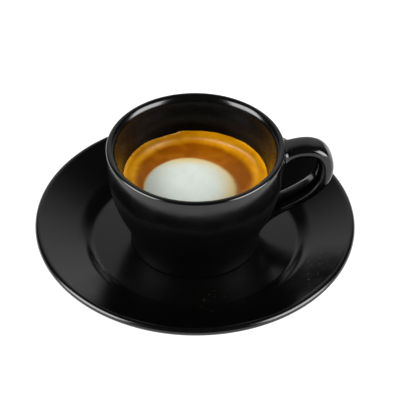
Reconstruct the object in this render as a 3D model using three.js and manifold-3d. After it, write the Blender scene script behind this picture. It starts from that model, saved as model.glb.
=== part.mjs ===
// An espresso macchiato: espresso with crema and a spoonful of milk foam, in a thick
// glazed cup with a strap handle, on its saucer. Millimetres, +Z up.
// The origin is the middle of the saucer's foot, at the height of the table.

import * as THREE from 'three';
import { mergeVertices } from 'three/addons/utils/BufferGeometryUtils.js';
import Module from 'manifold-3d';

const wasm = await Module();
wasm.setup();

const TAU = Math.PI * 2;
const GAP = 0.3;
const SEAM_TOLERANCE = 0.02;
const FOOT_CHAMFER = 0.6;

// Number of sides of the round pieces.
const POTTERY_SIDES = 72;
const DRINK_SIDES = 48;

// Saucer: a flat well, a soft step up from it, a straight flange and a rounded edge, on
// a foot ring. The step is given as [radius, height].
const SAUCER_RADIUS = 60;
const SAUCER_HEIGHT = 15.7;
const SAUCER_EDGE_RADIUS = 1.5;
const FLANGE_THICKNESS = 3.2;
const WELL_HEIGHT = 6;
const STEP_STATIONS = [[38, WELL_HEIGHT], [39.8, 6.75], [41.6, 8.15], [43.2, 9.2], [45.4, 10.2]];
const STEP_STEPS = 8;
const SAUCER_FOOT_RADIUS = 31.5;
const SAUCER_FOOT_WIDTH = 3.4;
const SAUCER_RECESS = 1.8;
const UNDER_BEND_REACH = 5;

// Cup: a low foot band, a belly that opens out and a nearly upright wall. The two
// sides of the wall are given as [radius, height above the well], from the foot up
// on the outside and from the lip down on the inside.
const CUP_RADIUS = 32.3;
const CUP_HEIGHT = 43.3;
const LIP_WIDTH = 3.2;
const LIP_OUTER_ROUND = 0.9;
const LIP_INNER_ROUND = 1.4;
const CUP_FOOT_RADIUS = 24.4;
const CUP_FOOT_WIDTH = 3.4;
const CUP_RECESS = 1.4;
const CUP_FLOOR = 5;
const LIP_HEIGHT = WELL_HEIGHT + CUP_HEIGHT;
const OUTSIDE_STATIONS = [
  [CUP_FOOT_RADIUS, FOOT_CHAMFER],
  [24.7, 4.6],
  [26, 10.2],
  [28.5, 16.2],
  [30.5, 22.2],
  [31.65, 28.4],
  [32.05, 34.4],
  [CUP_RADIUS, CUP_HEIGHT - LIP_OUTER_ROUND],
];
const INSIDE_STATIONS = [
  [CUP_RADIUS - LIP_WIDTH, CUP_HEIGHT - LIP_INNER_ROUND],
  [27.9, 36.3],
  [26.4, 29.3],
  [24.1, 20.8],
  [20.7, 12.5],
  [15.1, 7],
  [9.1, CUP_FLOOR + 0.2],
  [0, CUP_FLOOR],
];
const OUTSIDE_STEPS = 15;
const INSIDE_STEPS = 18;

// Handle: a flat strap in an upright plane, its middle line given by where it leaves
// the wall, its outermost point and where it comes back. R is the distance from the axis.
const HANDLE_TURN = THREE.MathUtils.degToRad(4.7);
const STRAP_WIDTH = 9.5;
const STRAP_THICKNESS = 4.85;
const STRAP_ROUNDNESS = 2.7;
const STRAP_SIDES = 16;
const STRAP_STEPS = 36;
const TOP_ROOT = { r: 30.1, z: 43.4, rise: THREE.MathUtils.degToRad(27.6), pull: 10.7 };
const OUTERMOST = { r: 47.8, z: 37.25, pull: 10.2 };
const LOW_ROOT = { r: 27.1, z: 17.6, rise: THREE.MathUtils.degToRad(29.7), pull: 8.4 };
const ROOT_FLARE = 0.3;
const ROOT_FLARE_LENGTH = 7;
const BEND_SWELL = 0.25;
const BEND_SWELL_LENGTH = 9;

// Drink: its level, the low rise at the wall, and the milk foam that lies in it.
const DRINK_LEVEL = 35.2;
const WALL_RISE = 0.6;
const WALL_RISE_WIDTH = 3;
const WALL_RISE_STEPS = 3;
const FOAM_CENTRE = { x: -1.4, y: -6.5 };
const FOAM_RADIUS = 17.45;
const FOAM_DEPTH = 1.8;
const FOAM_CROWN = 0.7;
const FOAM_SHOULDER = 3;
const FOAM_STEPS = 5;

const point = (r, z) => new THREE.Vector2(r, z);

// The manifold library's solid of a closed three.js geometry.
function solidOf(geometry) {
  const bare = geometry.clone();
  bare.deleteAttribute('normal');
  bare.deleteAttribute('uv');
  const merged = mergeVertices(bare, 1e-4);
  const corners = Array.from(merged.index.array);
  const kept = [];
  for (let i = 0; i < corners.length; i += 3) {
    const [a, b, c] = corners.slice(i, i + 3);
    if (a !== b && b !== c && c !== a) kept.push(a, b, c);
  }
  return new wasm.Manifold(new wasm.Mesh({
    numProp: 3,
    vertProperties: new Float32Array(merged.attributes.position.array),
    triVerts: new Uint32Array(kept),
  }));
}

function geometryOf(solid) {
  const mesh = solid.getMesh();
  const geometry = new THREE.BufferGeometry();
  geometry.setAttribute('position', new THREE.BufferAttribute(mesh.vertProperties, 3));
  geometry.setIndex(new THREE.BufferAttribute(mesh.triVerts, 1));
  geometry.computeVertexNormals();
  return geometry;
}

// A solid of revolution about Z. The profile runs from the axis at the bottom, round
// the outside, and back to the axis at the top.
function turned(profile, sides) {
  const geometry = new THREE.LatheGeometry(profile, sides);
  geometry.rotateX(Math.PI / 2);
  return geometry;
}

// Points of a smooth line through stations of [radius, height above the well].
function wallLine(stations, steps) {
  const spots = stations.map(([r, height]) => point(r, WELL_HEIGHT + height));
  return new THREE.SplineCurve(spots).getPoints(steps);
}

function arc(centre, radius, from, to, steps) {
  return new THREE.EllipseCurve(centre.x, centre.y, radius, radius, from, to).getPoints(steps);
}

// A foot ring's underside, from the recess inside it to its outer corner.
function footRing(radius, width, base, recess) {
  const inner = radius - width;
  return [
    point(0, base + recess),
    point(inner - FOOT_CHAMFER, base + recess),
    point(inner, base + FOOT_CHAMFER),
    point(inner + FOOT_CHAMFER, base),
    point(radius - FOOT_CHAMFER, base),
    point(radius, base + FOOT_CHAMFER),
  ];
}

function saucerProfile() {
  const edge = point(SAUCER_RADIUS - SAUCER_EDGE_RADIUS, SAUCER_HEIGHT - SAUCER_EDGE_RADIUS);
  const step = STEP_STATIONS.map(([r, z]) => point(r, z));
  const flangeStart = step.at(-1);
  const slope = Math.atan2(SAUCER_HEIGHT - flangeStart.y, edge.x - flangeStart.x);
  const up = point(-Math.sin(slope), Math.cos(slope));
  const stepDown = new THREE.SplineCurve(step).getPoints(STEP_STEPS).reverse();

  const underFlange = flangeStart.clone().addScaledVector(up, -FLANGE_THICKNESS);
  const underBend = new THREE.QuadraticBezierCurve(
    point(SAUCER_FOOT_RADIUS + FOOT_CHAMFER, SAUCER_RECESS),
    point(SAUCER_FOOT_RADIUS + UNDER_BEND_REACH, SAUCER_RECESS),
    underFlange).getPoints(3);

  return [
    ...footRing(SAUCER_FOOT_RADIUS, SAUCER_FOOT_WIDTH, 0, SAUCER_RECESS),
    ...underBend,
    ...arc(edge, SAUCER_EDGE_RADIUS, slope - Math.PI / 2, slope + Math.PI / 2, 8),
    ...stepDown,
    point(0, WELL_HEIGHT),
  ];
}

function cupOutside() {
  return wallLine(OUTSIDE_STATIONS, OUTSIDE_STEPS);
}

// The inside of the wall, or a line that stays clear of it.
function cupInside(clear = 0) {
  return wallLine(INSIDE_STATIONS, INSIDE_STEPS)
    .map((p) => point(Math.max(p.x - clear, 0), p.y + clear));
}

function cupProfile() {
  const outerRound = point(CUP_RADIUS - LIP_OUTER_ROUND, LIP_HEIGHT - LIP_OUTER_ROUND);
  const innerRound = point(CUP_RADIUS - LIP_WIDTH + LIP_INNER_ROUND, LIP_HEIGHT - LIP_INNER_ROUND);
  return [
    ...footRing(CUP_FOOT_RADIUS, CUP_FOOT_WIDTH, WELL_HEIGHT, CUP_RECESS).slice(0, -1),
    ...cupOutside(),
    ...arc(outerRound, LIP_OUTER_ROUND, 0, Math.PI / 2, 3).slice(1),
    ...arc(innerRound, LIP_INNER_ROUND, Math.PI / 2, Math.PI, 4).slice(0, -1),
    ...cupInside(),
  ];
}

// The strap's middle line, in the plane of X and Z before the handle is turned.
function strapLine() {
  const spot = (r, z) => new THREE.Vector3(r, 0, z);
  const leave = (root) => spot(
    root.r + Math.cos(root.rise) * root.pull,
    root.z + Math.sin(root.rise) * root.pull,
  );
  const line = new THREE.CurvePath();
  const outermost = spot(OUTERMOST.r, OUTERMOST.z);
  line.add(new THREE.CubicBezierCurve3(
    spot(TOP_ROOT.r, TOP_ROOT.z), leave(TOP_ROOT),
    spot(OUTERMOST.r, OUTERMOST.z + OUTERMOST.pull), outermost));
  line.add(new THREE.CubicBezierCurve3(
    outermost, spot(OUTERMOST.r, OUTERMOST.z - OUTERMOST.pull),
    leave(LOW_ROOT), spot(LOW_ROOT.r, LOW_ROOT.z)));
  return line;
}

// The strap's section, an oval with fuller shoulders: X is across, Y through the strap.
function strapSection() {
  const power = 2 / STRAP_ROUNDNESS;
  const bulge = (value) => Math.sign(value) * Math.abs(value) ** power;
  const corners = Array.from({ length: STRAP_SIDES }, (_, i) => {
    const angle = (i / STRAP_SIDES) * TAU;
    return point(bulge(Math.cos(angle)) * STRAP_WIDTH / 2, bulge(Math.sin(angle)) * STRAP_THICKNESS / 2);
  });
  return new THREE.Shape(corners);
}

// A straight bar of the section, bent along the middle line, flared at both roots and
// a little thicker round the outermost bend.
function strap() {
  const line = strapLine();
  const length = line.getLength();
  const outermost = line.curves[0].getLength();
  const bar = new THREE.ExtrudeGeometry(strapSection(), {
    depth: length, steps: STRAP_STEPS, bevelEnabled: false,
  });
  const corners = bar.attributes.position;
  for (let i = 0; i < corners.count; i += 1) {
    const run = THREE.MathUtils.clamp(corners.getZ(i), 0, length);
    const spot = line.getPointAt(run / length);
    const ahead = line.getTangentAt(run / length);
    const toRoot = Math.min(run, length - run) / ROOT_FLARE_LENGTH;
    const flare = 1 + ROOT_FLARE * Math.max(0, 1 - toRoot) ** 2;
    const swell = 1 + BEND_SWELL * Math.exp(-(((run - outermost) / BEND_SWELL_LENGTH) ** 2));
    const across = -corners.getX(i) * flare;
    const through = corners.getY(i) * flare * swell;
    corners.setXYZ(i, spot.x + ahead.z * through, across, spot.z - ahead.x * through);
  }
  return bar.rotateZ(HANDLE_TURN);
}

// The cup's body filled solid to the middle of its wall, which trims the strap's ends.
function wallCore() {
  const inset = LIP_WIDTH / 2;
  const outside = cupOutside().map((p) => point(p.x - inset, p.y));
  return [point(0, WELL_HEIGHT + CUP_RECESS), ...outside, point(0, LIP_HEIGHT - LIP_OUTER_ROUND)];
}

function cupSolid() {
  const body = solidOf(turned(cupProfile(), POTTERY_SIDES));
  const handle = solidOf(strap()).subtract(solidOf(turned(wallCore(), POTTERY_SIDES)));
  return body.add(handle).simplify(SEAM_TOLERANCE);
}

// The foam spreads into a slightly uneven round. This is its reach at an angle.
function foamReach(angle) {
  const degrees = THREE.MathUtils.degToRad;
  return FOAM_RADIUS
    + 0.45 * Math.cos(2 * (angle - degrees(160)))
    + 0.3 * Math.cos(3 * (angle + degrees(16)));
}

// A turned disc of unit radius, spread to the foam's outline.
function spread(profile, clear) {
  const disc = turned(profile, DRINK_SIDES);
  const corners = disc.attributes.position;
  for (let i = 0; i < corners.count; i += 1) {
    const angle = Math.atan2(corners.getY(i), corners.getX(i));
    const reach = foamReach(angle) + clear;
    corners.setXY(i, FOAM_CENTRE.x + corners.getX(i) * reach, FOAM_CENTRE.y + corners.getY(i) * reach);
  }
  return disc;
}

// A disc of foam with a full shoulder, which stands a little proud of the drink.
function foamGeometry() {
  const under = DRINK_LEVEL - FOAM_DEPTH;
  const crown = Array.from({ length: FOAM_STEPS }, (_, i) => {
    const angle = ((i + 1) / FOAM_STEPS) * (Math.PI / 2);
    const reach = Math.cos(angle) ** (2 / FOAM_SHOULDER);
    return point(reach, DRINK_LEVEL + FOAM_CROWN * Math.sin(angle) ** (2 / FOAM_SHOULDER));
  });
  crown.at(-1).x = 0;
  return spread([point(0, under), point(1, under), point(1, DRINK_LEVEL), ...crown], 0);
}

// The drink fills the cup to its level, rises a little at the wall, and is hollowed
// where the foam lies in it.
function espressoSolid() {
  const rim = DRINK_LEVEL + WALL_RISE;
  const wall = cupInside(GAP).filter((p) => p.y < rim).reverse();
  const edge = wall.at(-1).x;
  const surface = Array.from({ length: WALL_RISE_STEPS + 1 }, (_, i) => {
    const share = i / WALL_RISE_STEPS;
    return point(edge - WALL_RISE_WIDTH * share, DRINK_LEVEL + WALL_RISE * (1 - share) ** 2);
  });
  const drink = solidOf(turned([...wall, ...surface, point(0, DRINK_LEVEL)], DRINK_SIDES));
  const floor = DRINK_LEVEL - FOAM_DEPTH - GAP;
  const ceiling = rim + GAP;
  const hollow = spread([point(0, floor), point(1, floor), point(1, ceiling), point(0, ceiling)], GAP);
  return drink.subtract(solidOf(hollow));
}

function piece(name, geometry, color, roughness) {
  const material = new THREE.MeshStandardMaterial({ color, roughness, metalness: 0 });
  const mesh = new THREE.Mesh(geometry, material);
  mesh.name = name;
  return mesh;
}

const BLACK_GLAZE = 0x0b0b0b;
const CREMA = 0x9a5a0a;
const MILK = 0xd4d6c8;

const macchiato = new THREE.Group();
macchiato.add(
  piece('saucer', geometryOf(solidOf(turned(saucerProfile(), POTTERY_SIDES))), BLACK_GLAZE, 0.3),
  piece('cup', geometryOf(cupSolid()), BLACK_GLAZE, 0.25),
  piece('espresso', geometryOf(espressoSolid()), CREMA, 0.35),
  piece('milk_foam', geometryOf(solidOf(foamGeometry())), MILK, 0.7),
);

export default macchiato;
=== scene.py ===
import math

import bmesh
import bpy
import numpy as np
from mathutils import Matrix, Vector


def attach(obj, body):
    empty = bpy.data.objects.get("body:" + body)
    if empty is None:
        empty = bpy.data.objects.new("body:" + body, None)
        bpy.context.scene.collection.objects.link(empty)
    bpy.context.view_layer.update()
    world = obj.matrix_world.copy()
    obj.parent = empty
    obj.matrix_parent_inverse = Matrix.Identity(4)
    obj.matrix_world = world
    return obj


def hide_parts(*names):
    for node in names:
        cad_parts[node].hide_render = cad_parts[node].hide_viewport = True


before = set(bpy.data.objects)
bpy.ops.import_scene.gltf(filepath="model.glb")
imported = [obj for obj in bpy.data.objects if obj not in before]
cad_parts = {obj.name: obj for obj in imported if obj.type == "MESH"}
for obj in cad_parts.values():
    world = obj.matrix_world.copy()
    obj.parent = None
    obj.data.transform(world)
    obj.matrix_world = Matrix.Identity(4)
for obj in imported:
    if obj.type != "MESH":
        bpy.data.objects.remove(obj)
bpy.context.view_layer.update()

MM = 0.001
TAU = 2 * math.pi

# Saucer.
SAUCER_RADIUS = 60
SAUCER_HEIGHT = 15.7
SAUCER_EDGE_RADIUS = 1.5
FLANGE_THICKNESS = 3.2
WELL_HEIGHT = 6
STEP_STATIONS = [(38, WELL_HEIGHT), (39.8, 6.75), (41.6, 8.15), (43.2, 9.2), (45.4, 10.2)]
SAUCER_FOOT_RADIUS = 31.5
SAUCER_FOOT_WIDTH = 3.4
SAUCER_RECESS = 1.8
UNDER_BEND_REACH = 5
FOOT_ROUND = 0.6

# Cup. Stations are [radius, height above the saucer's well], up the outside from the foot
# and down the inside from the lip.
CUP_RADIUS = 32.3
CUP_HEIGHT = 43.3
CUP_FOOT_RADIUS = 24.4
CUP_FOOT_WIDTH = 3.4
CUP_RECESS = 1.4
CUP_FLOOR = 5
LIP_HEIGHT = WELL_HEIGHT + CUP_HEIGHT
LIP_OUTER_ROUND = 0.9
LIP_CREST_RADIUS = 31.2
OUTSIDE_STATIONS = [
    (CUP_FOOT_RADIUS, FOOT_ROUND), (24.5, 4), (25.9, 10.2), (28.4, 16.2), (30.45, 22.2),
    (31.6, 28.4), (32.05, 34.6), (CUP_RADIUS, CUP_HEIGHT - LIP_OUTER_ROUND),
]
INSIDE_STATIONS = [
    (LIP_CREST_RADIUS, CUP_HEIGHT), (29.7, 42.3), (28.9, 39.7), (27.9, 36.3), (26.4, 29.3),
    (24.1, 20.8), (20.7, 12.5), (15.1, 7.2), (8.5, CUP_FLOOR + 0.35), (0, CUP_FLOOR),
]

# Handle: the middle line of the strap, in an upright plane that is turned about the axis.
HANDLE_TURN = math.radians(4.7)
STRAP_WIDTH = 9.5
STRAP_THICKNESS = 4.85
STRAP_ROUNDNESS = 2.7
BEND_SWELL = 0.25
BEND_SWELL_LENGTH = 9
TOP_ROOT = {"r": 30.1, "z": 43.4, "rise": math.radians(27.6), "pull": 10.7}
OUTERMOST = {"r": 47.8, "z": 37.25, "pull": 10.2}
LOW_ROOT = {"r": 27.1, "z": 17.6, "rise": math.radians(29.7), "pull": 8.4}
ROOT_FLARE = 0.22
ROOT_FLARE_THROUGH = 0.6
ROOT_FLARE_LENGTH = 8
ROOT_FILLET = 2.6
LIP_CLEARANCE = 0.25
# How deep the fillet's border sinks into the wall, and how far the strap then runs on inside it.
LANDING_SINK = 0.03
BURIED_LENGTH = 1.1
STRAP_STEPS = 180
STRAP_CORNERS = 64
FILLET_STEPS = 12

# Drink.
DRINK_LEVEL = 35.2
FOAM_CENTRE = (-1.4, -6.5)
FOAM_RADIUS = 17.45
FOAM_DOME = 0.62
# How far the drink reaches into the cup's wall and floor, so that no gap shows.
WALL_BITE = 0.35
FLOOR_BITE = 0.1
CREMA_DEPTH = 2.5
# The crema's colour and relief follow rings that aren't quite centred in the cup.
RING_CENTRE = (-1.5, -0.5)
GOLD_START = 20.3
ROLL_RADIUS = 22.2
CREMA_SINK = 0.45
# Where the crema ends at the wall, as [degrees, radius]; it leaves the wall at the back left.
CREMA_EDGE = [
    (-180, 26.6), (-90, 26.8), (0, 26.8), (35, 26.8), (60, 27.6), (80, 27.9), (96, 27.6),
    (102, 26.8), (108, 25.9), (116, 25.5), (124, 25.9), (132, 26.5), (142, 26.8), (160, 26.7),
    (180, 26.6),
]

# Number of sides of the turned pieces, the drink and the foam.
SIDES = 256
DRINK_SIDES = 320
FOAM_SIDES = 288

# Glaze colours: the black's two ends, settled dust that also paints a highlight streak on the
# saucer, and the share of shine left on dull glaze.
BLACK_LOW = (0.0006, 0.0006, 0.0007, 1)
BLACK_HIGH = (0.0014, 0.0014, 0.0012, 1)
DUST_AND_HIGHLIGHT = (0.085, 0.085, 0.075, 1)
DULL_SHINE = (0.04, 0.04, 0.04, 1)
FULL_SHINE = (1, 1, 1, 1)
GLAZE_ROUGHNESS = (0.13, 0.19)

# Drink colours. Where there are two, a swirl runs between them. The back's painted shade is
# multiplied in.
BROWN_LOW = (0.255, 0.065, 0.0002, 1)
BROWN_HIGH = (0.315, 0.09, 0.0003, 1)
AMBER_LOW = (0.56, 0.22, 0.001, 1)
AMBER_HIGH = (0.66, 0.28, 0.002, 1)
BACK_PAINTED_SHADE = (0.6, 0.58, 0.6, 1)
# A painted highlight along the crema's roll.
ARC_PAINTED_HIGHLIGHT = (0.7, 0.41, 0.17, 1)
FROTH = (0.66, 0.42, 0.15, 1)
WET_WALL = (0.012, 0.004, 0.001, 1)
MILKY_CREMA = (0.62, 0.45, 0.19, 1)
WHITE_LOW = (0.555, 0.6, 0.545, 1)
WHITE_HIGH = (0.59, 0.63, 0.57, 1)
CREAM = (0.62, 0.48, 0.205, 1)
SHADED_MILK = (0.49, 0.52, 0.46, 1)

# Studio. Angles are in degrees: side is counted from the front, height from level.
# The lamp's and the floor's distances are in metres.
SOFTBOX_SIDE = (46, 92)
SOFTBOX_HEIGHT = (4, 44)
SOFTBOX_SOFT = 5
SOFTBOX_LIGHT = 10.8
WALL_START = (130, 160)
WALL_TOP = (34, 62)
WALL_FOOT = (-2, 14)
WALL_FOOT_SHARE = 0.2
WALL_LIGHT = 0.62
DARK_LIGHT = 0.04
TOP_PLACE = (80, 50)
TOP_DISTANCE = 0.9
TOP_SIZE = 0.45
TOP_POWER = 3.2
FLOOR_GLOW = 1.0
FLOOR_REACH = 4.0

# The photo's view: a long lens, 41 degrees down, rolled by half a degree.
CAMERA_PLACE = (1.77, -381.1, 354.8)
CAMERA_PITCH = math.radians(41.02)
CAMERA_ROLL = -0.0091
SENSOR = 36.0
FOCAL_PIXELS = 1355.8
FRAME_PIXELS = 400


def smooth(value, low, high):
    """0 below low, 1 above high, and an even S between them."""
    share = np.clip((np.asarray(value, float) - low) / (high - low), 0, 1)
    return share * share * (3 - 2 * share)


def bump(value, centre, width):
    """A soft bell round centre."""
    return np.exp(-((np.asarray(value, float) - centre) / width) ** 2)


def turn_from(angle, centre):
    """Signed angle from centre to angle, in degrees, between -180 and 180."""
    return (np.degrees(angle) - centre + 180) % 360 - 180


# Profiles.

def smooth_line(stations, steps, start, end):
    """Points of the line through stations whose bend changes evenly all along it.
    It sets off along start and arrives along end; there are steps points to each span."""
    p = np.asarray(stations, float)
    span = np.hypot(*np.diff(p, axis=0).T)
    count = len(p)
    rows = np.zeros((count, count))
    right = np.zeros((count, 2))
    rows[0, 0] = rows[-1, -1] = 1
    right[0] = np.asarray(start, float) / np.hypot(*start)
    right[-1] = np.asarray(end, float) / np.hypot(*end)
    for i in range(1, count - 1):
        before, after = span[i - 1], span[i]
        rows[i, i - 1:i + 2] = after, 2 * (before + after), before
        right[i] = 3 * (after * (p[i] - p[i - 1]) / before + before * (p[i + 1] - p[i]) / after)
    slopes = np.linalg.solve(rows, right)
    t = np.linspace(0, 1, steps, endpoint=False)[:, None]
    spans = []
    for i in range(count - 1):
        spans.append((2 * t ** 3 - 3 * t ** 2 + 1) * p[i] + (3 * t ** 2 - 2 * t ** 3) * p[i + 1]
                     + (t ** 3 - 2 * t ** 2 + t) * span[i] * slopes[i]
                     + (t ** 3 - t ** 2) * span[i] * slopes[i + 1])
    return np.vstack(spans + [p[-1:]])


def arc(centre, across, up, start, end, steps):
    """Points of an ellipse's arc, from start to end in degrees."""
    angle = np.radians(np.linspace(start, end, steps + 1))
    return np.stack([centre[0] + across * np.cos(angle), centre[1] + up * np.sin(angle)], 1)


def bend(a, corner, b, steps):
    """Points of the quadratic curve from a to b that is drawn towards corner."""
    t = np.linspace(0, 1, steps + 1)[:, None]
    a, corner, b = (np.asarray(v, float) for v in (a, corner, b))
    return (1 - t) ** 2 * a + 2 * t * (1 - t) * corner + t ** 2 * b


def straight(a, b, steps):
    """Points from a to b, without b."""
    t = np.linspace(0, 1, steps, endpoint=False)[:, None]
    return np.asarray(a, float) * (1 - t) + np.asarray(b, float) * t


def foot_ring(radius, width, base, recess):
    """Underside with a rounded ring to stand on, from the axis to the ring's outer side."""
    inner = radius - width
    return np.vstack([
        straight((0, base + recess), (inner - FOOT_ROUND, base + recess), 10),
        bend((inner - FOOT_ROUND, base + recess), (inner, base + recess),
             (inner, base + FOOT_ROUND), 3)[:-1],
        arc((inner + FOOT_ROUND, base + FOOT_ROUND), FOOT_ROUND, FOOT_ROUND, 180, 270, 5)[:-1],
        straight((inner + FOOT_ROUND, base), (radius - FOOT_ROUND, base), 3),
        arc((radius - FOOT_ROUND, base + FOOT_ROUND), FOOT_ROUND, FOOT_ROUND, 270, 360, 5),
    ])


def saucer_profile():
    """Underside, rounded edge, straight flange, a soft step down from it, and the flat well."""
    edge = np.array([SAUCER_RADIUS - SAUCER_EDGE_RADIUS, SAUCER_HEIGHT - SAUCER_EDGE_RADIUS])
    flange_start = np.array(STEP_STATIONS[-1], float)
    slope = math.atan2(SAUCER_HEIGHT - flange_start[1], edge[0] - flange_start[0])
    along = np.array([math.cos(slope), math.sin(slope)])
    up = np.array([-along[1], along[0]])
    under_flange = flange_start - up * FLANGE_THICKNESS
    rim = arc(edge, SAUCER_EDGE_RADIUS, SAUCER_EDGE_RADIUS,
              math.degrees(slope) - 90, math.degrees(slope) + 90, 22)
    step = smooth_line(STEP_STATIONS, 14, (1, 0), along)[::-1]
    return np.vstack([
        foot_ring(SAUCER_FOOT_RADIUS, SAUCER_FOOT_WIDTH, 0, SAUCER_RECESS),
        bend((SAUCER_FOOT_RADIUS + FOOT_ROUND, SAUCER_RECESS),
             (SAUCER_FOOT_RADIUS + UNDER_BEND_REACH, SAUCER_RECESS), under_flange, 10)[:-1],
        straight(under_flange, rim[0], 12),
        rim[:-1],
        straight(rim[-1], flange_start, 20),
        step[:-1],
        straight(STEP_STATIONS[0], (0, WELL_HEIGHT), 26),
        [(0, WELL_HEIGHT)],
    ])


def above_well(stations):
    return [(r, WELL_HEIGHT + height) for r, height in stations]


def cup_outside():
    return smooth_line(above_well(OUTSIDE_STATIONS), 12, (0, 1), (0, 1))


def cup_inside():
    """From the lip's crest, over a soft round, down the wall to the middle of the floor."""
    return smooth_line(above_well(INSIDE_STATIONS), 12, (-1, 0), (-1, 0))


def cup_profile():
    lip_centre = (CUP_RADIUS - LIP_OUTER_ROUND, LIP_HEIGHT - LIP_OUTER_ROUND)
    return np.vstack([
        foot_ring(CUP_FOOT_RADIUS, CUP_FOOT_WIDTH, WELL_HEIGHT, CUP_RECESS)[:-1],
        cup_outside(),
        arc(lip_centre, LIP_OUTER_ROUND, LIP_OUTER_ROUND, 0, 90, 10)[1:],
        cup_inside(),
    ])


def wall_radius(height):
    """Radius of the cup's outside at a height above the table."""
    line = cup_outside()
    return np.interp(height, line[:, 1], line[:, 0])


def inner_radius_at(height):
    line = cup_inside()[::-1]
    return np.interp(height, line[:, 1], line[:, 0])


# Geometry Nodes.

class Net:
    """Adds nodes to a tree. An input is given by its name, as a value or another node's output."""

    def __init__(self, tree):
        self.tree = tree

    def add(self, kind, out=0, settings=None, **inputs):
        node = self.tree.nodes.new(kind)
        for key, value in (settings or {}).items():
            setattr(node, key, value)
        for key, value in inputs.items():
            self.plug(node, key.replace("_", " "), value)
        return node.outputs[out]

    def plug(self, node, name, value):
        self.feed(next(s for s in node.inputs if s.name == name and s.enabled), value)

    def feed(self, socket, value):
        if isinstance(value, bpy.types.NodeSocket):
            self.tree.links.new(value, socket)
        else:
            socket.default_value = value

    def math(self, operation, *values, clamp=False):
        node = self.tree.nodes.new("ShaderNodeMath")
        node.operation = operation
        node.use_clamp = clamp
        for socket, value in zip(node.inputs, values):
            self.feed(socket, value)
        return node.outputs[0]

    def times(self, *values):
        """Product of the values."""
        product = values[0]
        for value in values[1:]:
            product = self.math("MULTIPLY", product, value)
        return product

    def mix(self, share, first, second, blend="MIX"):
        """Colour mix of first and second by share."""
        node = self.tree.nodes.new("ShaderNodeMix")
        node.data_type = "RGBA"
        node.blend_type = blend
        # A mix node's inputs for numbers and vectors come before its two colours.
        colours = (node.inputs[0], node.inputs[6], node.inputs[7])
        for socket, value in zip(colours, (share, first, second)):
            self.feed(socket, value)
        return node.outputs[2]

    def span(self, value, low, high, to_low=0.0, to_high=1.0, kind="SMOOTHSTEP"):
        """value between low and high, as a smooth or even step between the two results."""
        node = self.tree.nodes.new("ShaderNodeMapRange")
        node.interpolation_type = kind
        for socket, given in zip(node.inputs, (value, low, high, to_low, to_high)):
            self.feed(socket, given)
        return node.outputs[0]

    def noise(self, place, scale, detail, **more):
        return self.add("ShaderNodeTexNoise", Vector=place, Scale=scale, Detail=detail, **more)

    def split(self, vector):
        """The vector's X, Y and Z."""
        node = self.tree.nodes.new("ShaderNodeSeparateXYZ")
        self.tree.links.new(vector, node.inputs[0])
        return node.outputs


def node_tree(name, inputs):
    """A new Geometry Nodes tree with a Geometry input and output, and named inputs."""
    tree = bpy.data.node_groups.new(name, "GeometryNodeTree")
    tree.interface.new_socket("Geometry", in_out="INPUT", socket_type="NodeSocketGeometry")
    for label, kind in inputs:
        tree.interface.new_socket(label, in_out="INPUT", socket_type=kind)
    tree.interface.new_socket("Geometry", in_out="OUTPUT", socket_type="NodeSocketGeometry")
    start = tree.nodes.new("NodeGroupInput")
    end = tree.nodes.new("NodeGroupOutput")
    return tree, start, end


def run_tree(tree, mesh, name, values):
    """The plain mesh object that the tree makes of mesh with these input values."""
    source = bpy.data.objects.new(name + "_source", mesh)
    bpy.context.scene.collection.objects.link(source)
    modifier = source.modifiers.new("nodes", "NODES")
    modifier.node_group = tree
    for item in tree.interface.items_tree:
        if item.in_out == "INPUT" and item.name in values:
            modifier[item.identifier] = values[item.name]
    bpy.context.view_layer.update()
    evaluated = source.evaluated_get(bpy.context.evaluated_depsgraph_get())
    made = bpy.data.meshes.new_from_object(evaluated)
    made.name = name
    source.modifiers.remove(modifier)
    bpy.data.objects.remove(source)
    piece = bpy.data.objects.new(name, made)
    bpy.context.scene.collection.objects.link(piece)
    return piece


def turning_tree():
    """Turns a profile, drawn in X and -Y, round the Z axis."""
    tree, start, end = node_tree("turned body", [
        ("Sides", "NodeSocketInt"), ("Turning Radius", "NodeSocketFloat"),
        ("Weld", "NodeSocketFloat"), ("Finish", "NodeSocketMaterial")])
    net = Net(tree)
    line = net.add("GeometryNodeMeshToCurve", Mesh=start.outputs["Geometry"])
    back = net.math("MULTIPLY", start.outputs["Turning Radius"], -1.0)
    offset = net.add("ShaderNodeCombineXYZ", X=back)
    line = net.add("GeometryNodeSetPosition", Geometry=line, Offset=offset)
    circle = net.add("GeometryNodeCurvePrimitiveCircle", settings={"mode": "RADIUS"},
                     Resolution=start.outputs["Sides"], Radius=start.outputs["Turning Radius"])
    body = net.add("GeometryNodeCurveToMesh", Curve=circle, Profile_Curve=line)
    body = net.add("GeometryNodeMergeByDistance", Geometry=body, Distance=start.outputs["Weld"])
    body = net.add("GeometryNodeRealizeInstances", Geometry=body)
    body = net.add("GeometryNodeSetMaterial", Geometry=body, Material=start.outputs["Finish"])
    tree.links.new(body, end.inputs["Geometry"])
    return tree


def turned(name, profile, material, tree):
    """A closed body of revolution. The profile starts and ends on the axis, in millimetres."""
    line = bpy.data.meshes.new(name + "_profile")
    count = len(profile)
    line.from_pydata([(r * MM, -z * MM, 0) for r, z in profile],
                     [(i, i + 1) for i in range(count - 1)], [])
    piece = run_tree(tree, line, name, {
        "Sides": SIDES, "Turning Radius": 2 * MM, "Weld": 0.004 * MM, "Finish": material})
    settle(piece)
    return piece


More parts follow.
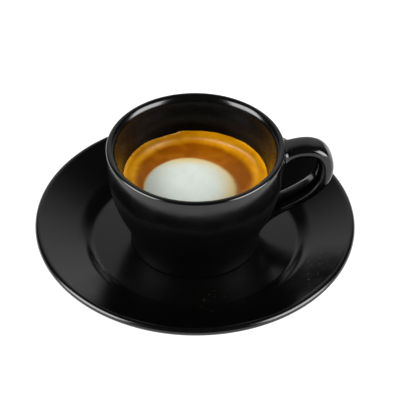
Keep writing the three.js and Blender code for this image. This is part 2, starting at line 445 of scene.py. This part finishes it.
def settle(piece):
    """Merges doubles, points the faces outwards and shades them smoothly."""
    mesh = bmesh.new()
    mesh.from_mesh(piece.data)
    bmesh.ops.remove_doubles(mesh, verts=mesh.verts, dist=0.002 * MM)
    bmesh.ops.dissolve_degenerate(mesh, edges=mesh.edges, dist=0.0005 * MM)
    bmesh.ops.recalc_face_normals(mesh, faces=mesh.faces)
    if mesh.calc_volume(signed=True) < 0:
        bmesh.ops.reverse_faces(mesh, faces=mesh.faces)
    open_edges = sum(len(e.link_faces) != 2 for e in mesh.edges)
    mesh.to_mesh(piece.data)
    mesh.free()
    piece.data.shade_smooth()
    if open_edges:
        print(piece.name, "has", open_edges, "open edges")


# Handle.

def strap_points(steps):
    """Middle line of the strap in X and Z, evenly spaced, with its direction, the length
    run so far, and the length run at the outermost point."""
    def leave(root):
        return (root["r"] + math.cos(root["rise"]) * root["pull"],
                root["z"] + math.sin(root["rise"]) * root["pull"])

    out = (OUTERMOST["r"], OUTERMOST["z"])
    above = (out[0], out[1] + OUTERMOST["pull"])
    below = (out[0], out[1] - OUTERMOST["pull"])
    halves = [
        [(TOP_ROOT["r"], TOP_ROOT["z"]), leave(TOP_ROOT), above, out],
        [out, below, leave(LOW_ROOT), (LOW_ROOT["r"], LOW_ROOT["z"])],
    ]
    t = np.linspace(0, 1, 400)[:, None]
    line = []
    for a, b, c, d in (np.array(half, float) for half in halves):
        line.append((1 - t) ** 3 * a + 3 * t * (1 - t) ** 2 * b
                    + 3 * t * t * (1 - t) * c + t ** 3 * d)
    upper_steps = len(line[0]) - 1
    line = np.vstack([line[0], line[1][1:]])
    run = np.concatenate([[0], np.cumsum(np.hypot(*np.diff(line, axis=0).T))])
    even = np.linspace(0, run[-1], steps + 1)
    spots = np.stack([np.interp(even, run, line[:, i]) for i in (0, 1)], 1)
    ahead = np.gradient(spots, axis=0)
    ahead /= np.hypot(*ahead.T)[:, None]
    return spots, ahead, even, run[upper_steps]


def strap_section(corners):
    """Oval with full shoulders: across the strap, and through it with + on the loop's inside."""
    angle = np.linspace(0, TAU, corners, endpoint=False)
    power = 2 / STRAP_ROUNDNESS

    def full(value):
        return np.sign(value) * np.abs(value) ** power

    return np.stack([full(np.cos(angle)) * STRAP_WIDTH / 2,
                     full(np.sin(angle)) * STRAP_THICKNESS / 2], 1)


def strap_rings(steps, corners):
    """Rings of the strap's surface, from the upper root to the lower, in millimetres."""
    spots, ahead, run, outermost = strap_points(steps)
    section = strap_section(corners)
    to_root = np.minimum(run, run[-1] - run) / ROOT_FLARE_LENGTH
    flare = 1 + ROOT_FLARE * np.maximum(0, 1 - to_root) ** 2
    swell = 1 + BEND_SWELL * bump(run, outermost, BEND_SWELL_LENGTH)
    rings = np.empty((steps + 1, corners, 3))
    for i in range(steps + 1):
        through = section[:, 1] * (1 + (flare[i] - 1) * ROOT_FLARE_THROUGH) * swell[i]
        rings[i, :, 0] = spots[i, 0] + ahead[i, 1] * through
        rings[i, :, 1] = section[:, 0] * flare[i]
        rings[i, :, 2] = spots[i, 1] - ahead[i, 0] * through
    return rings


def outside_wall(points):
    """How far points lie outside the cup's wall."""
    return np.hypot(points[..., 0], points[..., 1]) - wall_radius(points[..., 2])


def on_wall(points, sink):
    """Points moved level onto the wall, and sunk into it."""
    angle = np.arctan2(points[..., 1], points[..., 0])
    radius = wall_radius(points[..., 2]) - sink
    return np.stack([radius * np.cos(angle), radius * np.sin(angle), points[..., 2]], -1)


def rooted(rings):
    """One end of the strap with a soft fillet onto the wall. rings run from the root outwards."""
    corners = rings.shape[1]
    away = outside_wall(rings)
    lengths = np.linalg.norm(np.diff(rings, axis=0), axis=2)
    run = np.vstack([np.zeros(corners), np.cumsum(lengths, axis=0)])
    centre = rings.mean(axis=1)
    meets = np.empty((corners, 3))
    leaves = np.empty((corners, 3))
    landing = np.empty((corners, 3))
    first_free = 0
    for k in range(corners):
        i = int(np.argmax(away[:, k] > 0))
        share = -away[i - 1, k] / (away[i, k] - away[i - 1, k])
        meets[k] = rings[i - 1, k] * (1 - share) + rings[i, k] * share
        start = run[i - 1, k] * (1 - share) + run[i, k] * share
        outward = meets[k] - (centre[i - 1] * (1 - share) + centre[i] * share)
        outward /= np.linalg.norm(outward)
        room = LIP_HEIGHT - LIP_OUTER_ROUND - LIP_CLEARANCE - meets[k, 2]
        fillet = ROOT_FILLET
        if outward[2] > 0:
            fillet = min(fillet, max(room, 0.3) / max(outward[2], 0.05))
        leaves[k] = [np.interp(start + fillet, run[:, k], rings[:, k, axis]) for axis in range(3)]
        landing[k] = on_wall(meets[k] + outward * fillet, LANDING_SINK)
        first_free = max(first_free, int(np.argmax(run[:, k] > start + fillet)))
    t = np.linspace(0, 1, FILLET_STEPS + 1)[:, None, None]
    corner = on_wall(meets, 0.0)
    fillet_rings = (1 - t) ** 2 * landing + 2 * t * (1 - t) * corner + t ** 2 * leaves
    buried = landing.copy()
    buried[:, :2] *= 1 - BURIED_LENGTH / np.hypot(landing[:, 0], landing[:, 1])[:, None]
    # Between the fillet's end and the first free ring each generator keeps to its own line.
    span = 4
    bridge = np.empty((span - 1, corners, 3))
    for k in range(corners):
        along = np.linalg.norm(rings[:, k] - leaves[k], axis=1)
        nearest = int(np.argmin(along))
        begin = run[nearest, k]
        for j in range(span - 1):
            spot = begin + (run[first_free, k] - begin) * (j + 1) / span
            bridge[j, k] = [np.interp(spot, run[:, k], rings[:, k, axis]) for axis in range(3)]
    return np.vstack([buried[None], fillet_rings, bridge, rings[first_free:]])


def handle_mesh(material):
    """The strap as a closed body, whose two ends lie inside the cup's wall."""
    corners = STRAP_CORNERS
    rings = strap_rings(STRAP_STEPS, corners)
    # Each end is rooted with some rings of the other half, which are then left off again.
    half = len(rings) // 2
    shared = 20
    upper = rooted(rings[:half + shared])[:-shared]
    lower = rooted(rings[::-1][:half + shared])
    lower = lower[:len(lower) - (2 * half + shared - len(rings))]
    loop = np.vstack([upper, lower[::-1]])
    turn = Matrix.Rotation(HANDLE_TURN, 4, "Z")
    verts = [turn @ (Vector(v) * MM) for v in loop.reshape(-1, 3)]
    faces = []
    for i in range(len(loop) - 1):
        for k in range(corners):
            n = (k + 1) % corners
            a, b = i * corners, (i + 1) * corners
            faces.append((a + k, a + n, b + n, b + k))
    last = (len(loop) - 1) * corners
    faces.append(tuple(range(corners))[::-1])
    faces.append(tuple(last + k for k in range(corners)))
    mesh = bpy.data.meshes.new("handle")
    mesh.from_pydata(verts, [], faces)
    mesh.materials.append(material)
    piece = bpy.data.objects.new("handle", mesh)
    bpy.context.scene.collection.objects.link(piece)
    settle(piece)
    return piece


def united(body, addition, name):
    """body with addition fused to it, as one closed mesh. Both sources are removed."""
    modifier = body.modifiers.new("fuse", "BOOLEAN")
    modifier.operation = "UNION"
    modifier.solver = "EXACT"
    modifier.object = addition
    bpy.context.view_layer.update()
    evaluated = body.evaluated_get(bpy.context.evaluated_depsgraph_get())
    made = bpy.data.meshes.new_from_object(evaluated)
    body.modifiers.remove(modifier)
    bpy.data.objects.remove(addition)
    bpy.data.objects.remove(body)
    made.name = name
    piece = bpy.data.objects.new(name, made)
    bpy.context.scene.collection.objects.link(piece)
    while len(made.materials) > 1:
        made.materials.pop()
    settle(piece)
    return piece


# Drink.

def foam_reach(angle):
    """How far the milk foam spreads from its centre."""
    return (FOAM_RADIUS + 0.45 * np.cos(2 * (angle - math.radians(160)))
            + 0.3 * np.cos(3 * (angle + math.radians(16))))


def crema_edge(angle):
    stations = np.array(CREMA_EDGE, float)
    wobble = 0.1 * np.sin(13 * angle + 0.6) + 0.07 * np.sin(29 * angle)
    return np.interp(np.degrees(angle), stations[:, 0], stations[:, 1]) + wobble


def foam_distance(x, y):
    """Distance from the foam's centre as a share of its reach, and the angle there."""
    dx, dy = x - FOAM_CENTRE[0], y - FOAM_CENTRE[1]
    angle = np.arctan2(dy, dx)
    return np.hypot(dx, dy) / foam_reach(angle), angle


def crema_rings(x, y):
    """Distance and angle from the middle of the crema's rings, and how far out its roll lies."""
    dx, dy = x - RING_CENTRE[0], y - RING_CENTRE[1]
    ring, angle = np.hypot(dx, dy), np.arctan2(dy, dx)
    roll = ROLL_RADIUS + 2.6 * bump(turn_from(angle, 22), 0, 30) + 0.12 * np.sin(5 * angle + 1)
    return ring, angle, roll


def crema_relief(x, y):
    """Height of the crema above the drink's level: sunk middle, soft roll, rise at the wall."""
    ring, angle, roll = crema_rings(x, y)
    full = 0.2 + 0.8 * bump(turn_from(angle, 50), 0, 34) + 0.45 * bump(turn_from(angle, 128), 0, 22)
    height = -CREMA_SINK + 0.5 * smooth(ring, roll - 2.6, roll + 1.4)
    height = height + 0.2 * full * bump(ring, roll, 1.0)
    radius, around = np.hypot(x, y), np.arctan2(y, x)
    edge = crema_edge(around)
    height = height + 0.3 * bump(radius, edge - 0.2, 0.8)
    height = height - 0.7 * smooth(radius, edge - 0.1, edge + 0.7)
    share, _ = foam_distance(x, y)
    return height - 0.75 * smooth(1.0 - share, 0.03, 0.3)


def surface_marks(x, y):
    """Named shares that the drink's materials read, at points of its surface."""
    ring, angle, roll = crema_rings(x, y)
    radius, around = np.hypot(x, y), np.arctan2(y, x)
    share, foam_angle = foam_distance(x, y)
    edge = crema_edge(around)
    right = bump(turn_from(foam_angle, -8), 0, 55)
    back = bump(turn_from(foam_angle, 95), 0, 45)
    low_right = bump(turn_from(angle, -10), 0, 36)
    gold_start = GOLD_START + 2.6 * low_right
    # Painted highlight: pale arcs on the crema's roll, left and right, with a gap between.
    left_arc_highlight = bump(turn_from(angle, 127), 0, 15) * bump(ring, roll, 1.1)
    right_arc_highlight = bump(turn_from(angle, 52), 0, 28) * bump(ring, roll + 0.1, 0.7)
    return {
        "milk": 1 - smooth(share, 0.9 - 0.2 * right, 1.05 + 0.03 * right),
        "cream": np.clip(right * smooth(share, 0.45, 0.95) + back * smooth(share, 0.7, 0.96), 0, 1),
        "shade": smooth(x, FOAM_CENTRE[0] - 4, FOAM_CENTRE[0] - 16),
        "gold": smooth(ring, gold_start - 1.6, gold_start + 1.6),
        # Painted shade: the crema darker towards the back left, most in its outer ring.
        "lit": 1 - bump(turn_from(angle, 105), 0, 38) * (0.5 + 0.5 * smooth(ring, 20, 22)),
        "froth": bump(radius, edge - 0.25, 0.5) * smooth(turn_from(around, 118), -100, -60),
        "bare": smooth(radius, edge, edge + 0.45),
        "pale": np.clip(left_arc_highlight * 0.75 + right_arc_highlight, 0, 1),
    }


def give_marks(mesh, marks):
    for name, values in marks.items():
        layer = mesh.attributes.new(name, "FLOAT", "POINT")
        layer.data.foreach_set("value", np.asarray(values, np.float32))


def polar_mesh(name, material, shares, centre, reach, top, bottom, sides):
    """A closed round body: a top of rings, and an underside that runs back to the middle.
    top(x, y) gives heights, bottom is a list of (share of the reach, height)."""
    angle = np.linspace(-math.pi, math.pi, sides, endpoint=False)
    edge = reach(angle)
    verts, faces, rings = [], [], []

    def add_ring(share, height):
        x = centre[0] + np.cos(angle) * edge * share
        y = centre[1] + np.sin(angle) * edge * share
        z = height(x, y) if callable(height) else np.full_like(x, height)
        rings.append(len(verts))
        verts.extend(zip(x, y, z))

    verts.append((centre[0], centre[1], float(top(np.array(centre[0]), np.array(centre[1])))))
    for share in shares:
        add_ring(share, top)
    for share, height in bottom[:-1]:
        add_ring(share, height)
    verts.append((centre[0], centre[1], bottom[-1][1]))
    for k in range(sides):
        n = (k + 1) % sides
        faces.append((0, rings[0] + k, rings[0] + n))
        for a, b in zip(rings, rings[1:]):
            faces.append((a + k, b + k, b + n, a + n))
        faces.append((rings[-1] + k, len(verts) - 1, rings[-1] + n))
    points = np.array(verts, float)
    mesh = bpy.data.meshes.new(name)
    mesh.from_pydata((points * MM).tolist(), [], faces)
    give_marks(mesh, surface_marks(points[:, 0], points[:, 1]))
    mesh.materials.append(material)
    piece = bpy.data.objects.new(name, mesh)
    bpy.context.scene.collection.objects.link(piece)
    settle(piece)
    return piece


def drink(material):
    """Espresso down to the cup's floor, with the crema's relief, reaching just into the wall."""
    top_radius = float(inner_radius_at(DRINK_LEVEL)) + WALL_BITE
    wall = [p for p in cup_inside() if p[1] < DRINK_LEVEL - CREMA_DEPTH]
    bottom = [((r + WALL_BITE) / top_radius, z - FLOOR_BITE) for r, z in wall[:-1]]
    bottom.append((0, wall[-1][1] - FLOOR_BITE))
    # Rings lie closer together where the crema's roll and edge are.
    shares = np.concatenate([np.linspace(0, 0.72, 40)[1:], np.linspace(0.72, 1, 52)[1:]])
    return polar_mesh("drink_with_crema", material, shares, (0, 0),
                      lambda angle: np.full_like(angle, top_radius),
                      lambda x, y: DRINK_LEVEL + crema_relief(x, y), bottom, DRINK_SIDES)


def foam(material):
    """A thin soft dome of milk foam whose border dips under the crema."""
    def top(x, y):
        share = foam_distance(x, y)[0]
        dome = FOAM_DOME * (1 - share ** 2.6) - 0.32 * smooth(share, 0.92, 1.06)
        swell = 0.07 * np.sin(0.33 * x + 1.1) * np.sin(0.41 * y + 0.4) * (1 - smooth(share, 0.6, 1))
        return DRINK_LEVEL - CREMA_SINK + dome + swell

    shares = np.linspace(0, 1.05, 60)[1:]
    bottom = [(1.04, DRINK_LEVEL - 1.0), (0.98, DRINK_LEVEL - 1.35), (0.6, DRINK_LEVEL - 1.7),
              (0, DRINK_LEVEL - 1.75)]
    return polar_mesh("milk_foam_spot", material, shares, FOAM_CENTRE, foam_reach, top, bottom,
                      FOAM_SIDES)


# Materials.

def new_material(name):
    material = bpy.data.materials.new(name)
    material.use_nodes = True
    nodes = material.node_tree.nodes
    shader = nodes["Principled BSDF"]
    return material, Net(material.node_tree), shader


def set_shader(net, shader, values):
    for name, value in values.items():
        net.plug(shader, name, value)


def axis_of(net, place):
    """Distance from the upright axis, angle round it, and height of a point."""
    x, y, z = net.split(place)
    radius = net.math("SQRT", net.math("ADD", net.times(x, x), net.times(y, y)))
    return radius, net.math("ARCTAN2", y, x), z


def black_glaze(name, finish):
    """Deep black glaze: faint colour drift, a soft orange-peel surface and its own wear.
    finish gives what is added to its roughness, its share of shine, and its dust with any painted
    highlight."""
    material, net, shader = new_material(name)
    place = net.add("ShaderNodeTexCoord", out="Object")
    satin, shine, dust_and_highlight = finish(net, place)
    colour = net.mix(net.noise(place, 60.0, 3.0), BLACK_LOW, BLACK_HIGH)
    # Dust, and on the saucer a painted highlight streak, in the lighter grey.
    colour = net.mix(dust_and_highlight, colour, DUST_AND_HIGHLIGHT)
    rough = net.span(net.noise(place, 140.0, 4.0), 0.35, 0.7, *GLAZE_ROUGHNESS, kind="LINEAR")
    rough = net.math("ADD", net.math("ADD", rough, satin), net.times(dust_and_highlight, 0.35))
    peel = net.noise(place, 260.0, 2.0)
    wave = net.noise(place, 55.0, 1.0)
    relief = net.math("ADD", peel, net.times(wave, 3.0))
    bump_node = net.add("ShaderNodeBump", Strength=1.0, Distance=0.012 * MM, Height=relief)
    set_shader(net, shader, {
        "Base Color": colour, "Roughness": rough, "IOR": 1.5, "Normal": bump_node,
        "Specular Tint": net.mix(shine, DULL_SHINE, FULL_SHINE)})
    return material


def cup_finish(net, place):
    """Dull and nearly without shine on the lower wall, softer inside the cup, glossy elsewhere."""
    radius, _, height = axis_of(net, place)
    worn = net.math("SUBTRACT", net.noise(place, 90.0, 3.0), 0.5)
    edge = net.math("ADD", height, net.times(worn, 5 * MM))
    # Only the wall: the handle, further out, keeps its shine.
    low = net.times(net.span(edge, 39.5 * MM, 33 * MM), net.span(radius, 33 * MM, 31.5 * MM))
    # The inside, without the lip.
    inside = net.times(net.span(radius, 30.2 * MM, 29.2 * MM),
                       net.span(height, 30 * MM, 34 * MM), net.span(height, 48.4 * MM, 46 * MM))
    # Dust specks only: the cup has no painted highlight.
    specks = net.add("ShaderNodeTexVoronoi", Vector=place, Scale=420.0, out="Distance")
    dust_and_highlight = net.times(net.span(specks, 0.09, 0.03), 0.04)
    satin = net.math("ADD", net.times(inside, 0.12), net.times(low, 0.3))
    dull = net.math("ADD", low, net.times(inside, 0.75))
    return satin, net.math("SUBTRACT", 1.0, dull, clamp=True), dust_and_highlight


def saucer_finish(net, place):
    """A faint painted highlight streak where the step starts at the left, and fine dust."""
    radius, angle, _ = axis_of(net, place)
    # Painted highlight: a lighter, rougher streak along the step's bend at the left.
    band = net.times(net.span(radius, 38.5 * MM, 39.1 * MM), net.span(radius, 40.2 * MM, 39.6 * MM))
    stretch = net.times(net.span(angle, -2.95, -2.75), net.span(angle, -2.3, -2.5))
    painted_highlight_streak = net.times(band, stretch, net.span(net.noise(place, 260.0, 3.0), 0.3, 0.7))
    grains = net.add("ShaderNodeTexVoronoi", Vector=place, Scale=560.0, out="Distance")
    grain = net.span(grains, 0.2, 0.08)
    # More dust on the flange at the right front, and here and there elsewhere.
    dusty = net.times(net.span(radius, 40 * MM, 46 * MM), net.span(radius, 57 * MM, 52 * MM),
                      net.times(net.span(angle, -0.8, -0.6), net.span(angle, -0.15, -0.3)))
    patch = net.span(net.noise(place, 85.0, 2.0), 0.6, 0.75)
    share = net.math("ADD", net.times(patch, 0.25), net.times(dusty, 0.4))
    # Real dust grains plus the painted highlight streak.
    dust_and_highlight = net.math("ADD", net.times(painted_highlight_streak, 0.3), net.times(grain, share), clamp=True)
    satin = net.span(radius, 42 * MM, 37 * MM, 0.0, 0.04)
    return satin, 1.0, dust_and_highlight


def attribute(net, name):
    return net.add("ShaderNodeAttribute", out="Fac", settings={"attribute_name": name})


def drink_colour(net, place):
    """Colour of the drink's surface, which the crema and the milk foam share where they meet."""
    swirl = net.noise(place, 120.0, 4.0, Distortion=1.2)
    fine = net.noise(place, 900.0, 3.0)
    drift = net.math("SUBTRACT", swirl, 0.5)
    grain = net.math("SUBTRACT", fine, 0.5)
    gold = net.math("ADD", attribute(net, "gold"), net.times(drift, 0.5), clamp=True)
    brown = net.mix(net.span(swirl, 0.3, 0.7), BROWN_LOW, BROWN_HIGH)
    amber = net.mix(net.span(swirl, 0.35, 0.65), AMBER_LOW, AMBER_HIGH)
    # Painted shade at the back left, where the lit mark is low.
    back_shade = net.mix(attribute(net, "lit"), BACK_PAINTED_SHADE, (1, 1, 1, 1))
    colour = net.mix(1.0, net.mix(gold, brown, amber), back_shade, blend="MULTIPLY")
    # Painted highlight: the pale arcs along the crema's roll.
    pale = net.times(attribute(net, "pale"), net.span(fine, 0.3, 0.65, 0.5, 0.85))
    colour = net.mix(pale, colour, ARC_PAINTED_HIGHLIGHT)
    froth = net.times(attribute(net, "froth"), net.span(fine, 0.42, 0.62), 0.6)
    colour = net.mix(froth, colour, FROTH)
    colour = net.mix(attribute(net, "bare"), colour, WET_WALL)
    milk = net.math("ADD", attribute(net, "milk"), net.times(grain, 0.12))
    milk = net.math("ADD", milk, net.times(drift, 0.22), clamp=True)
    border = net.mix(net.span(milk, 0.1, 0.75), colour, MILKY_CREMA)
    white = net.mix(net.span(swirl, 0.35, 0.65), WHITE_LOW, WHITE_HIGH)
    white = net.mix(attribute(net, "cream"), white, CREAM)
    white = net.mix(attribute(net, "shade"), white, SHADED_MILK)
    return net.mix(net.span(milk, 0.35, 0.95), border, white), milk


def drink_finish(name, crema_roughness, milk_roughness):
    """A material of the drink's surface: its colour, less gloss in the milk, fine bubbles."""
    material, net, shader = new_material(name)
    place = net.add("ShaderNodeTexCoord", out="Object")
    colour, milk = drink_colour(net, place)
    rough = net.span(milk, 0.1, 0.8, crema_roughness, milk_roughness, kind="LINEAR")
    bubbles = net.add("ShaderNodeTexVoronoi", Vector=place, Scale=1500.0, out="Distance")
    relief = net.math("ADD", net.times(bubbles, 0.5), net.noise(place, 350.0, 2.0))
    bump_node = net.add("ShaderNodeBump", Strength=1.0, Distance=0.05 * MM, Height=relief)
    set_shader(net, shader, {
        "Base Color": colour, "Roughness": rough, "IOR": 1.34, "Specular IOR Level": 0.25,
        "Normal": bump_node})
    return material


# Studio.

def plateau(net, value, low, high, soft):
    """1 between low and high, falling to 0 over soft on either side."""
    rise = net.span(value, low - soft, low + soft)
    fall = net.span(value, high - soft, high + soft, 1.0, 0.0)
    return net.times(rise, fall)


def world_light():
    """Two softboxes at the front's sides, a lit wall behind, and dark round and over them."""
    world = bpy.data.worlds.new("soft studio")
    bpy.context.scene.world = world
    world.use_nodes = True
    net = Net(world.node_tree)
    x, y, z = net.split(net.add("ShaderNodeTexCoord", out="Generated"))
    height = net.times(net.math("ARCSINE", z), 360 / TAU)
    # Degrees round from the front, where the camera stands: to either side up to 180.
    turn = net.math("ARCTAN2", net.math("ABSOLUTE", x), net.times(y, -1.0))
    side = net.times(turn, 360 / TAU)
    softboxes = net.times(plateau(net, side, *SOFTBOX_SIDE, SOFTBOX_SOFT),
                          plateau(net, height, *SOFTBOX_HEIGHT, SOFTBOX_SOFT))
    wall = net.times(net.span(side, *WALL_START), net.span(height, *WALL_TOP, 1.0, 0.0),
                     net.span(height, *WALL_FOOT, WALL_FOOT_SHARE, 1.0))
    light = net.math("ADD", net.times(softboxes, SOFTBOX_LIGHT), DARK_LIGHT)
    light = net.math("ADD", light, net.times(wall, WALL_LIGHT))
    background = world.node_tree.nodes["Background"]
    net.feed(background.inputs["Strength"], light)
    net.feed(background.inputs["Color"], (1, 1, 1, 1))


def top_light():
    """A large soft lamp at the upper left for the drink's matt surface. No gloss mirrors it."""
    data = bpy.data.lights.new("soft top", "AREA")
    data.shape = "DISK"
    data.size = TOP_SIZE
    data.energy = TOP_POWER
    lamp = bpy.data.objects.new("soft top", data)
    side, height = (math.radians(v) for v in TOP_PLACE)
    away = Vector((-math.sin(side) * math.cos(height), -math.cos(side) * math.cos(height),
                   math.sin(height)))
    lamp.visible_glossy = False
    lamp.location = away * TOP_DISTANCE
    lamp.rotation_mode = "QUATERNION"
    lamp.rotation_quaternion = away.to_track_quat("Z", "Y")
    bpy.context.scene.collection.objects.link(lamp)


def pale_material(name, low, high):
    """A softly clouded, glowing pale surface."""
    material, net, shader = new_material(name)
    place = net.add("ShaderNodeTexCoord", out="Object")
    cloud = net.noise(place, 3.0, 1.0)
    set_shader(net, shader, {
        "Base Color": net.mix(cloud, (0.16, 0.16, 0.16, 1), (0.18, 0.18, 0.18, 1)),
        "Roughness": 0.9, "Specular IOR Level": 0.0,
        "Emission Color": net.mix(cloud, (low, low, low, 1), (high, high, high, 1)),
        "Emission Strength": FLOOR_GLOW})
    return material


def studio():
    scene = bpy.context.scene
    scene.view_settings.view_transform = "Standard"
    world_light()
    top_light()
    pale = pale_material("pale floor", 0.99, 1.0)
    floor_mesh = bpy.data.meshes.new("floor")
    reach = FLOOR_REACH
    corners = [(-reach, -reach, 0), (reach, -reach, 0), (reach, reach, 0), (-reach, reach, 0)]
    floor_mesh.from_pydata(corners, [], [(0, 1, 2, 3)])
    floor_mesh.materials.append(pale)
    floor = bpy.data.objects.new("floor", floor_mesh)
    scene.collection.objects.link(floor)
    # A pale wall all round that only the camera sees, for level views.
    drum = bmesh.new()
    bmesh.ops.create_cone(drum, segments=96, radius1=reach * 0.95, radius2=reach * 0.95,
                          depth=2 * reach, cap_ends=False)
    drum_mesh = bpy.data.meshes.new("pale_backdrop")
    drum.to_mesh(drum_mesh)
    drum.free()
    drum_mesh.materials.append(pale)
    backdrop = bpy.data.objects.new("pale_backdrop", drum_mesh)
    scene.collection.objects.link(backdrop)
    for ray in ("visible_diffuse", "visible_glossy", "visible_transmission", "visible_shadow"):
        setattr(backdrop, ray, False)


def camera():
    data = bpy.data.cameras.new("photo view")
    data.sensor_width = SENSOR
    data.lens = SENSOR * FOCAL_PIXELS / FRAME_PIXELS
    data.clip_start = 0.05
    data.clip_end = 20
    eye = bpy.data.objects.new("photo view", data)
    ahead = Vector((0, math.cos(CAMERA_PITCH), -math.sin(CAMERA_PITCH)))
    down = Vector((0, -math.sin(CAMERA_PITCH), -math.cos(CAMERA_PITCH)))
    level = Vector((1, 0, 0))
    across = math.cos(CAMERA_ROLL) * level + math.sin(CAMERA_ROLL) * down
    below = -math.sin(CAMERA_ROLL) * level + math.cos(CAMERA_ROLL) * down
    turn = Matrix((across, -below, -ahead)).transposed().to_4x4()
    eye.matrix_world = Matrix.Translation(Vector(CAMERA_PLACE) * MM) @ turn
    bpy.context.scene.collection.objects.link(eye)
    bpy.context.scene.camera = eye


def hand_over(piece, node):
    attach(piece, "root")
    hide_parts(node)


def build():
    studio()
    camera()
    tree = turning_tree()
    glaze = black_glaze("black cup glaze", cup_finish)
    saucer_glaze = black_glaze("black saucer glaze", saucer_finish)
    saucer = turned("saucer_dish", saucer_profile(), saucer_glaze, tree)
    body = turned("cup_body", cup_profile(), glaze, tree)
    cup = united(body, handle_mesh(glaze), "cup_with_handle")
    coffee = drink(drink_finish("amber crema", 0.28, 0.6))
    milk = foam(drink_finish("soft milk foam", 0.35, 0.62))
    hand_over(saucer, "saucer")
    hand_over(cup, "cup")
    hand_over(coffee, "espresso")
    hand_over(milk, "milk_foam")


build()
